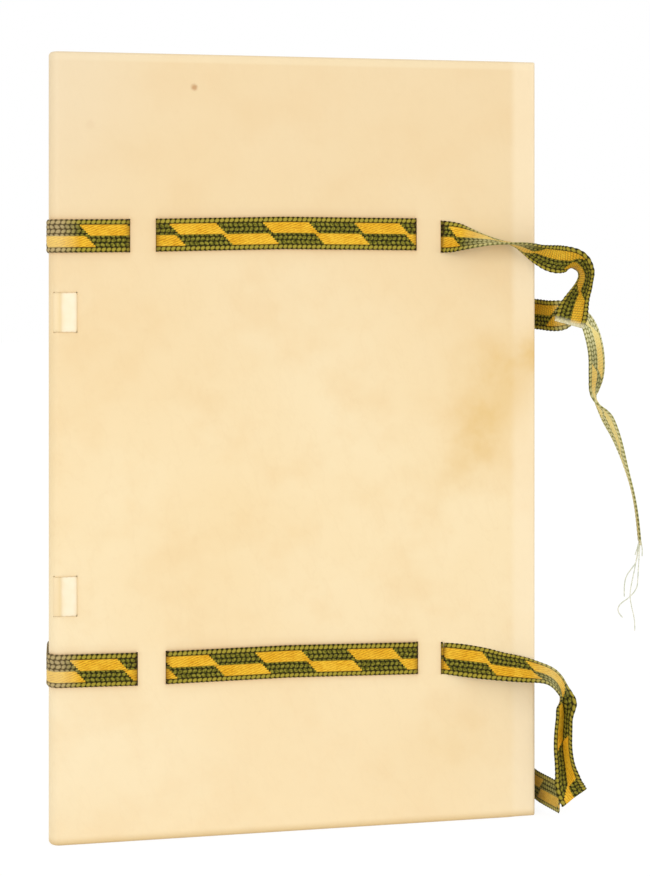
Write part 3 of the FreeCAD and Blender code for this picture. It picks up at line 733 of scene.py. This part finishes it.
def case_half(name, side):
    """One half of the case as one closed skin, cut through at its slits."""
    last_p = from_x(FORE_X - ROLL) + ROLL * math.pi / 2 + ROLL_END
    low_q = ROLL - ROLL * math.pi / 2 - ROLL_END
    high_q = HEIGHT - low_q
    exact_p = [SPINE_FLAT, SHOULDER_AT, from_x(FORE_X - ROLL)]
    exact_p += [from_x(BAND_FROM), from_x((BAND_FROM + BAND_TO) / 2), from_x(BAND_TO)]
    exact_p += [SPINE_FLAT + (SHOULDER_AT - SPINE_FLAT) * n / 8 for n in range(9)]
    exact_p += [from_x(FORE_X - ROLL) + ROLL * math.pi / 2 * n / 7 for n in range(8)]
    exact_p += [from_x(FORE_X - TURN_IN_REACH), from_x(FORE_X - TURN_IN_REACH - 0.0003)]
    exact_q = [ROLL, HEIGHT - ROLL]
    exact_q += [ROLL - ROLL * math.pi / 2 * n / 7 for n in range(8)]
    exact_q += [HEIGHT - ROLL + ROLL * math.pi / 2 * n / 7 for n in range(8)]
    exact_q += [TURN_IN_REACH, TURN_IN_REACH + 0.0003]
    exact_q += [HEIGHT - TURN_IN_REACH, HEIGHT - TURN_IN_REACH - 0.0003]
    for left, right, bottom, top in slit_boxes:
        exact_p += [left - 0.0016, left - 0.0006, left, right, right + 0.0006, right + 0.0016]
        exact_q += [bottom - 0.0012, bottom - 0.0004, bottom, bottom + 0.0005, bottom + 0.0012]
        exact_q += [top - 0.0012, top - 0.0005, top, top + 0.0004, top + 0.0012]
    across = spaced(0.0, last_p, 0.0022, exact_p)
    upward = spaced(low_q, high_q, 0.0022, exact_q)
    wide, tall = len(across), len(upward)
    outer, inner, uv, soil_and_shadow, stain_and_shade = [], [], [], [], []
    for p in across:
        x = SHOULDER_X + p - SHOULDER_AT
        lip = 0.0006 * (1 - soft(p, SHOULDER_AT, SHOULDER_AT + 0.008))
        for q in upward:
            near_q = q if ROLL * -0.6 < q < HEIGHT + ROLL * 0.6 else q + math.copysign(lip, HEIGHT / 2 - q)
            fold_in = max(
                soft(x, FORE_X - TURN_IN_REACH - 0.0003, FORE_X - TURN_IN_REACH),
                1 - soft(q, TURN_IN_REACH, TURN_IN_REACH + 0.0003),
                soft(q, HEIGHT - TURN_IN_REACH - 0.0003, HEIGHT - TURN_IN_REACH),
            )
            outer.append(skin_point(p, near_q, 0.0, side))
            inner.append(skin_point(p, near_q, VELLUM + TURN_IN * fold_in, side))
            uv.append((x, q))
            soil_and_shadow.append(halo(x, q))
            stain_and_shade.append(stains_with_shade(x, q, side))
    cell_kept = np.ones((wide - 1, tall - 1), bool)
    for left, right, bottom, top in slit_boxes:
        for i in range(wide - 1):
            if left < (across[i] + across[i + 1]) / 2 < right:
                for j in range(tall - 1):
                    if bottom < (upward[j] + upward[j + 1]) / 2 < top:
                        cell_kept[i, j] = False
    grid = np.arange(wide * tall).reshape(wide, tall)
    count = wide * tall
    faces, shift, owner = [], [], {}
    for i in range(wide - 1):
        for j in range(tall - 1):
            if cell_kept[i, j]:
                cell = [int(grid[i + a, j + b]) for a, b in ((0, 0), (1, 0), (1, 1), (0, 1))]
                faces.append(cell)
                shift.append(0.0)
                faces.append([c + count for c in cell[::-1]])
                shift.append(1.0)
                for a, b in zip(cell, cell[1:] + cell[:1]):
                    if owner.pop((b, a), None) is None:
                        owner[(a, b)] = True
    points = outer + inner
    middle_of = {}

    def edge_middle(c):
        """A point that rounds the folded edge between the outer and the inner face."""
        if c not in middle_of:
            i, j = divmod(c, tall)
            back_i, back_j = min(i, wide - 2), min(max(j, 1), tall - 2)
            here = np.array(outer[c]) + np.array(inner[c])
            before = np.array(outer[grid[back_i, back_j]]) + np.array(inner[grid[back_i, back_j]])
            way = here - before
            middle_of[c] = len(points)
            points.append(tuple(here / 2 + way / np.linalg.norm(way) * 0.0004))
            uv.append(uv[c])
            soil_and_shadow.append(soil_and_shadow[c])
            stain_and_shade.append(stain_and_shade[c])
        return middle_of[c]

    uv = uv + uv
    soil_and_shadow = soil_and_shadow + soil_and_shadow
    stain_and_shade = stain_and_shade + stain_and_shade
    for a, b in owner:
        if a < tall and b < tall:
            continue
        at_border = all(c % tall in (0, tall - 1) or c >= count - tall for c in (a, b))
        if at_border:
            c, d = edge_middle(a), edge_middle(b)
            faces += [[b, a, c, d], [d, c, a + count, b + count]]
            shift += [0.0, 0.0]
        else:
            faces.append([b, a, a + count, b + count])
            shift.append(0.0)
    if side > 0:
        faces = [face[::-1] for face in faces]
    half = drawn(name, points, faces, "skin", uv, shift, {"soil_and_shadow": soil_and_shadow, "stain_and_shade": stain_and_shade})
    half.data.set_sharp_from_angle(angle=math.radians(50))
    return half


def vellum_finish(name, seed, spots):
    """Calf vellum: cloudy cream with faint veins and pores, stains mixed with painted shade, rolled edges
    paler in part from painted highlight, and a painted shadow line along the tail.
    """
    cream, shade, light = colour(242, 216, 167), colour(235, 201, 145), colour(246, 226, 184)
    made = Finish(name)
    x, z = made.place("skin")
    inside = x > 0.5
    x = x - inside
    at = made.point(x, z, inside * 3 + seed)
    wide_cloud = made.cloud(at, 11.0, 3.0).ease(0.32, 0.68)
    blotch = made.cloud(at, 42.0, 4.0, 0.55).ease(0.42, 0.72)
    vein = made.cloud(made.point(x * 1.6 + z * 0.5, z * 0.7, seed + 5.0), 60.0, 4.0, 0.6)
    vein = 1 - abs(vein - 0.5).ease(0.0, 0.035)
    pore = made.cloud(at, 1500.0, 1.0)
    grain = made.cloud(at, 420.0, 3.0, 0.6)
    skin = made.mix(wide_cloud, cream, light)
    skin = made.mix(blotch * 0.4, skin, shade)
    skin = made.mix(vein * 0.04, skin, colour(214, 176, 116))
    skin = made.mix(grain.ease(0.55, 0.8) * 0.10, skin, colour(222, 186, 128))
    fore_band = x.ease(0.0676, 0.0704)
    head_band = z.ease(HEIGHT - 0.0032, HEIGHT - 0.0022)
    tail_shadow_band = 1 - z.ease(0.0002, 0.0030)
    outside = 1 - inside
    # Painted shade: the cover is darkened towards the head.
    skin = made.mix(z.ease(0.090, 0.235) * outside * 0.6, skin, colour(230, 203, 159))
    # Painted light: the cover is brightened towards the tail, as if by light thrown up from the table.
    skin = made.mix((1 - z.ease(0.010, 0.100)) * outside * 0.3, skin, colour(249, 232, 198))
    # Paler fore edge band: partly the doubled vellum's own tone, partly a painted highlight where the edge
    # turns toward the light.
    skin = made.mix(fore_band * outside * 0.45, skin, colour(250, 232, 198))
    # Painted highlight: the rolled head edge is painted paler, as if it caught the light.
    skin = made.mix(head_band * outside * 0.4, skin, colour(244, 226, 188))
    # Painted shadow: a dark line along the tail edge, where the cover stands on the table.
    skin = made.mix(tail_shadow_band * outside * 0.6, skin, colour(206, 172, 108))
    grey = z.ease(0.165, 0.240) * (1 - x.ease(-0.076, -0.030))
    skin = made.mix(grey * outside * 0.45, skin, colour(232, 214, 182))
    # Stains mixed with painted shade: darker marks kept at the points, tinted brown.
    stain_and_shade = made.spread("stain_and_shade") * (0.55 + blotch * 0.75)
    skin = made.mix(stain_and_shade * 0.72 * outside, skin, colour(226, 188, 116))
    # Painted contact shadow and soiling beside the ribbons and slips, and painted shade at the slits.
    skin = made.mix(made.spread("soil_and_shadow") * (1 - inside * 0.7) * 0.62, skin, colour(196, 142, 74))
    for spot_x, spot_z, reach, strength in spots:
        distance = ((x - spot_x) ** 2 + (z - spot_z) ** 2) ** 0.5 + (grain - 0.5) * 0.0012
        spot = (1 - distance.ease(reach * 0.25, reach)) * outside
        skin = made.mix(spot * strength, skin, colour(176, 112, 50))
    mitre = abs(abs(z - HEIGHT / 2) - HEIGHT / 2 - x + FORE_X)
    folded = x.ease(FORE_X - TURN_IN_REACH - 0.0003, FORE_X - TURN_IN_REACH)
    folded = folded * abs(z - HEIGHT / 2).ease(HEIGHT / 2 - 0.0153, HEIGHT / 2 - 0.0150)
    seam = (1 - mitre.ease(0.0001, 0.0004)) * inside * folded
    skin = made.mix(inside * 0.45, skin, colour(240, 222, 186))
    skin = made.mix(seam * 0.7, skin, colour(120, 84, 46))
    relief = wide_cloud * 0.25 + blotch * 0.25 + grain * 0.20 + pore * 0.06 - seam - vein * 0.05
    made.set(
        Base_Color=skin,
        Roughness=0.5 + blotch * 0.1 - fore_band * 0.05,
        Normal=made.bump(relief, 0.0005, 0.35),
        Specular_IOR_Level=0.35,
    )
    return made.material


calf = {
    "front": vellum_finish(
        "calf_front", 0.0, [(-0.0320, 0.2297, 0.0015, 0.62), (-0.0634, 0.2179, 0.0021, 0.06)]
    ),
    "back": vellum_finish(
        "calf_back", 7.3, [(0.0410, 0.1520, 0.0012, 0.3), (-0.0150, 0.0480, 0.0016, 0.2)]
    ),
}
for name, side in (("front", -1), ("back", 1)):
    half = case_half(f"vellum_case_{name}", side)
    half.data.materials.append(calf[name])
    y = DEPTH * side
    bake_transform(half)
    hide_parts(f"{name}_cover", *(["spine_cover"] if side < 0 else []))


# Laced ribbons: the tape lies flat round the spine, dips through a slit, bridges a few millimetres
# inside the cover and comes out again, and does so once more before the fore edge.
def laced_line(side, height, slits, end, out, depth_in, first_p):
    """The middle of a strip on one cover, as points, and how far along it each lies in x."""
    places = []
    for p in spaced(first_p, SHOULDER_AT, 0.00035, []):
        (x, y), _, _ = spine_path(p, out)
        places.append((x, y, SHOULDER_X + p - SHOULDER_AT))
    exact = [slit + 0.00008 * n for slit in slits for n in range(-8, 9)]
    for x in spaced(SHOULDER_X, end, 0.00035, exact)[1:]:
        sunk = 0.0
        for number, slit in enumerate(slits):
            step = soft(x, slit - 0.00036, slit + 0.00036)
            sunk += step if number % 2 == 0 else -step
        y = -DEPTH - swell(x, height(x), side) - out + sunk * (out + depth_in)
        places.append((x, y, x))
    line = [(x, y * -side, height(x)) for x, y, _ in places]
    return np.array(line), np.array([along for _, _, along in places])


for level, slits in RIBBON_SLITS.items():
    for name, side in (("front", -1), ("back", 1)):
        out = RIBBON_THICK / 2 + 0.00008
        line, x = laced_line(
            side, lambda x: ribbon_z(level, x), slits, 0.0459, out, VELLUM + 0.0003, 0.0
        )
        pulled = (0.0016 if level == "upper" else 0.0010) * (x < slits[0])
        along = x - pulled if side < 0 else 2 * (SHOULDER_X - SHOULDER_AT) - x
        shadow = np.zeros(len(x))
        for slit in slits:
            shadow = np.maximum(shadow, np.exp(-np.abs(x - slit) / 0.0006))
        # Rubbed and painted highlight where the tape rounds the spine and shoulder.
        worn_and_highlit = np.clip((-0.0665 - x) / 0.006, 0, 1)
        tape = strip(
            f"{level}_ribbon_{name}_lacing", line, np.tile((0.0, 0.0, 1.0), (len(line), 1)),
            along - PATTERN_START[level], RIBBON_WIDE, RIBBON_THICK, -side, None, weave_height,
            {"shadow": shadow, "worn_and_highlit": worn_and_highlit, "frayed": x * 0, "painted_highlight": x * 0},
        )
        tape.data.materials.append(woven)
        y = DEPTH * side
        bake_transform(tape)
        nodes = [f"{level}_ribbon_{name}"] + ([f"{level}_ribbon_spine"] if side < 0 else [])
        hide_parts(*nodes)

# Sewing slips: narrow strips of vellum under the stitches of the gatherings. Each comes out of the
# case at the shoulder, lies on the cover for a few millimetres and goes in again at a slit.
SLIP_THICK = 0.0005
slip_skin = Finish("vellum_slip")
across, along = slip_skin.place("weave")
at = slip_skin.point(across, along, 9.0)
patch = slip_skin.cloud(at, 160.0, 3.0).ease(0.3, 0.7)
fine = slip_skin.cloud(at, 900.0, 2.0)
tone = slip_skin.mix(patch, colour(250, 233, 198), colour(254, 240, 212))
tone = slip_skin.mix(slip_skin.spread("covered") * 0.8, tone, colour(242, 216, 167))
tone = slip_skin.mix(slip_skin.spread("shadow") * 0.45, tone, colour(214, 178, 96))
slip_skin.set(
    Base_Color=tone,
    Roughness=0.52,
    Normal=slip_skin.bump(fine * 0.4 + patch * 0.6, 0.0002, 0.3),
    Specular_IOR_Level=0.35,
)


def no_weave(across, along):
    """A vellum slip has no woven relief."""
    return np.zeros(across.shape), np.zeros(across.shape)


for level, z in SLIP_AT.items():
    for name, side in (("front", -1), ("back", 1)):
        out = SLIP_THICK / 2 + 0.00006
        start = SHOULDER_AT - SHOULDER_RADIUS * math.asin(0.0018 / (SHOULDER_RADIUS + out))
        line, x = laced_line(
            side, lambda x: z, [SLIP_SLIT], -0.0556, out, VELLUM + 0.00026, start
        )
        inner = [(JOINT_SLIT, side * (0.0083 + 0.00022 * n), z) for n in range(5)]
        line = np.concatenate([np.array(inner), line])
        x = np.concatenate([x[0] - 0.0012 + 0.00022 * np.arange(5), x])
        shadow = np.exp(-np.abs(x - SLIP_SLIT) / 0.0004)
        shadow = np.maximum(shadow, np.exp(-np.abs(x - SLIP_SEEN) / 0.0005))
        covered = 1.0 * (x < SLIP_SEEN)
        slip = strip(
            f"{level}_slip_{name}_strip", line, np.tile((0.0, 0.0, 1.0), (len(line), 1)), x,
            SLIP_WIDE, SLIP_THICK, -side, None, no_weave, {"shadow": shadow, "covered": covered}, 12,
        )
        slip.data.materials.append(slip_skin.material)
        y = DEPTH * side
        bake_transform(slip)
        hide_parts(f"{level}_slip_{name}")
    turns = [(-0.0743, -0.0086), (-0.0741, -0.0088), (-0.0738, -0.0087), (-0.07355, -0.0083)]
    turns += [(-0.07346, -0.0080 + 0.0008 * n) for n in range(21)]
    turns += [(-0.07355, 0.0083), (-0.0738, 0.0087), (-0.0741, 0.0088), (-0.0743, 0.0086)]
    line = np.array([(x, y, z) for x, y in turns])
    plain = {"shadow": line[:, 0] * 0, "covered": line[:, 0] * 0}
    core = strip(
        f"{level}_slip_core", line, np.tile((0.0, 0.0, 1.0), (len(line), 1)), line[:, 1],
        SLIP_WIDE, SLIP_THICK, 1, None, no_weave, plain, 12,
    )
    core.data.materials.append(slip_skin.material)
    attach(core, "block")
    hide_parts(f"{level}_slip_spine")

# Sewing thread: waxed linen that leaves the fold of each gathering, crosses the slip and goes back.
BLOCK_BACK = -0.0732
BLOCK_FORE = 0.0729
BLOCK_HALF = 0.0083
SQUARE = 0.0032
GATHERINGS = 10
step = 2 * BLOCK_HALF / GATHERINGS
runs = []
for z in SLIP_AT.values():
    reach = SLIP_WIDE / 2 + 0.0009
    for number in range(GATHERINGS):
        y = -BLOCK_HALF + step * (number + 0.5)
        stations = [
            (BLOCK_BACK + 0.0003, z - reach), (BLOCK_BACK - 0.0004, z - reach),
            (BLOCK_BACK - 0.00068, z - reach + 0.0008), (BLOCK_BACK - 0.00068, z),
            (BLOCK_BACK - 0.00068, z + reach - 0.0008), (BLOCK_BACK - 0.0004, z + reach),
            (BLOCK_BACK + 0.0003, z + reach),
        ]
        runs.append([(x, y, up) for x, up in stations])
stitches = spun_lines("sewing_stitches", runs, 6, 3)
linen = Finish("linen_thread")
place = linen.node("ShaderNodeTexCoord", {}, {}).outputs["Object"]
apart = linen.node("ShaderNodeSeparateXYZ", {}, {0: place})
twist = (Value(linen, apart.outputs[2]) * 1600 + Value(linen, apart.outputs[1]) * 900).wave()
linen.set(
    Base_Color=linen.mix(twist, colour(176, 156, 118), colour(224, 208, 172)),
    Roughness=0.75,
    Normal=linen.bump(twist, 0.00008, 0.6),
)
stitches.data.materials.append(linen.material)
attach(stitches, "block")
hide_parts("sewing_thread")

# The text block: ten gatherings of four folded sheets of rag paper, pressed but a little uneven.
# Every sheet is a thin folded piece, nested in the next, with its own trim at head, tail and fore edge.
SHEETS = 4
rng = np.random.default_rng(7)
leaf = step / (2 * SHEETS)
points, faces, uv = [], [], []
for gathering in range(GATHERINGS):
    centre = -BLOCK_HALF + step * (gathering + 0.5)
    for sheet in range(SHEETS):
        half = (sheet + 0.5) * leaf
        thick = leaf * 0.44
        fore = BLOCK_FORE - 0.0003 + rng.uniform(-0.00022, 0.00022)
        low = SQUARE + 0.0003 + rng.uniform(-0.0002, 0.0002)
        high = HEIGHT - SQUARE - 0.0003 + rng.uniform(-0.0002, 0.0002)
        fold_x = BLOCK_BACK + step / 2
        runs = np.linspace(fore, fold_x, 12)
        turn = np.linspace(math.pi / 2, 3 * math.pi / 2, 9)[1:-1]
        first = len(points)
        levels = np.linspace(low, high, 13)
        rings = []
        for radius in (half + thick, half - thick):
            radius = max(radius, 0.00002)
            ring = [(x, centre + radius) for x in runs]
            ring += [(fold_x + radius * math.cos(t), centre + radius * math.sin(t)) for t in turn]
            ring += [(x, centre - radius) for x in runs[::-1]]
            rings.append(ring)
        count = len(rings[0])
        for z in levels:
            for ring in rings:
                for x, y in ring:
                    sway = 0.00012 * math.sin(38 * z + 1.5) * soft(x, 0.0, 0.07)
                    points.append((x, y + sway, z))
                    uv.append((x, z))
        for level_number in range(len(levels) - 1):
            base = first + level_number * 2 * count
            over = base + 2 * count
            for k in range(count - 1):
                faces.append([base + k, base + k + 1, over + k + 1, over + k])
                inner_base, inner_over = base + count, over + count
                faces.append([inner_base + k + 1, inner_base + k, inner_over + k, inner_over + k + 1])
            faces.append([base + count, base, over, over + count])
            end_base, end_over = base + count - 1, over + count - 1
            faces.append([end_base, end_base + count, end_over + count, end_over])
        top = first + (len(levels) - 1) * 2 * count
        for k in range(count - 1):
            faces.append([first + k + 1, first + k, first + count + k, first + count + k + 1])
            faces.append([top + k, top + k + 1, top + count + k + 1, top + count + k])
paper = Finish("rag_paper")
x, z = paper.place("page")
at = paper.point(x, z)
mould = (x * 900).wave() * 0.15 + (z * 38).wave() * 0.1
foxing = paper.cloud(at, 30.0, 4.0).ease(0.55, 0.75)
fuzz = paper.cloud(at, 700.0, 2.0)
rim = x.ease(0.060, 0.074) + (1 - z.ease(0.003, 0.016)) + z.ease(0.224, 0.237)
sheet_tone = paper.mix(foxing * 0.35, colour(240, 230, 204), colour(222, 200, 158))
sheet_tone = paper.mix(rim * 0.35, sheet_tone, colour(214, 192, 150))
paper.set(
    Base_Color=sheet_tone,
    Roughness=0.85,
    Normal=paper.bump(mould + fuzz * 0.5, 0.0002, 0.3),
    Specular_IOR_Level=0.2,
)
leaves = drawn("folded_leaves", points, faces, "page", uv)
leaves.data.set_sharp_from_angle(angle=math.radians(45))
leaves.data.materials.append(paper.material)
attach(leaves, "block")
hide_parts("text_block")

# The table top: a plain white surface that shows as white and keeps the book's own soft shadow.
ground = Finish("table_top")
diffuse = ground.node("ShaderNodeBsdfDiffuse", {}, {"Color": (0.9, 0.9, 0.9, 1)})
glow = ground.node("ShaderNodeEmission", {}, {"Color": (1, 1, 1, 1), "Strength": 1.1})
ray = ground.node("ShaderNodeLightPath", {}, {})
seen = Value(ground, ray.outputs["Is Camera Ray"]) + Value(ground, ray.outputs["Is Glossy Ray"])
both = ground.node(
    "ShaderNodeMixShader", {}, {0: seen * 0.82, 1: diffuse.outputs[0], 2: glow.outputs[0]}
)
ground.join(ground.tree.nodes["Material Output"].inputs["Surface"], both.outputs[0])
table_mesh = bpy.data.meshes.new("table_top")
table_mesh.from_pydata(
    [(-3, -3, -0.0001), (3, -3, -0.0001), (3, 3, -0.0001), (-3, 3, -0.0001)], [], [(0, 1, 2, 3)]
)
table_mesh.materials.append(ground.material)
table = bpy.data.objects.new("table_top", table_mesh)
bpy.context.scene.collection.objects.link(table)

# Studio light: a white room all round, a large soft lamp at the upper left and a weaker one right.
world = bpy.data.worlds.new("studio")
bpy.context.scene.world = world
world.use_nodes = True
tree = world.node_tree
tree.nodes.clear()
room = tree.nodes.new("ShaderNodeBackground")
room.inputs["Strength"].default_value = 0.70
white = tree.nodes.new("ShaderNodeBackground")
white.inputs["Strength"].default_value = 1.0
for back in (room, white):
    back.inputs["Color"].default_value = (1, 1, 1, 1)
path = tree.nodes.new("ShaderNodeLightPath")
choice = tree.nodes.new("ShaderNodeMixShader")
shown = tree.nodes.new("ShaderNodeOutputWorld")
tree.links.new(path.outputs["Is Camera Ray"], choice.inputs[0])
tree.links.new(room.outputs[0], choice.inputs[1])
tree.links.new(white.outputs[0], choice.inputs[2])
tree.links.new(choice.outputs[0], shown.inputs[0])
for name, place, energy, across in (
    ("key_lamp", (-0.9, -1.3, 0.5), 8.5, 0.9),
    ("side_lamp", (1.3, -0.9, 0.4), 4.9, 0.8),
):
    light = bpy.data.lights.new(name, "AREA")
    light.energy = energy
    light.size = across
    lamp = bpy.data.objects.new(name, light)
    lamp.location = place
    aim = np.array((0.0, 0.0, 0.12)) - np.array(place)
    flat = math.hypot(aim[0], aim[1])
    lamp.rotation_euler = (math.atan2(flat, -aim[2]), 0, math.atan2(aim[1], aim[0]) - math.pi / 2)
    bpy.context.scene.collection.objects.link(lamp)
bpy.context.scene.view_settings.view_transform = "Standard"
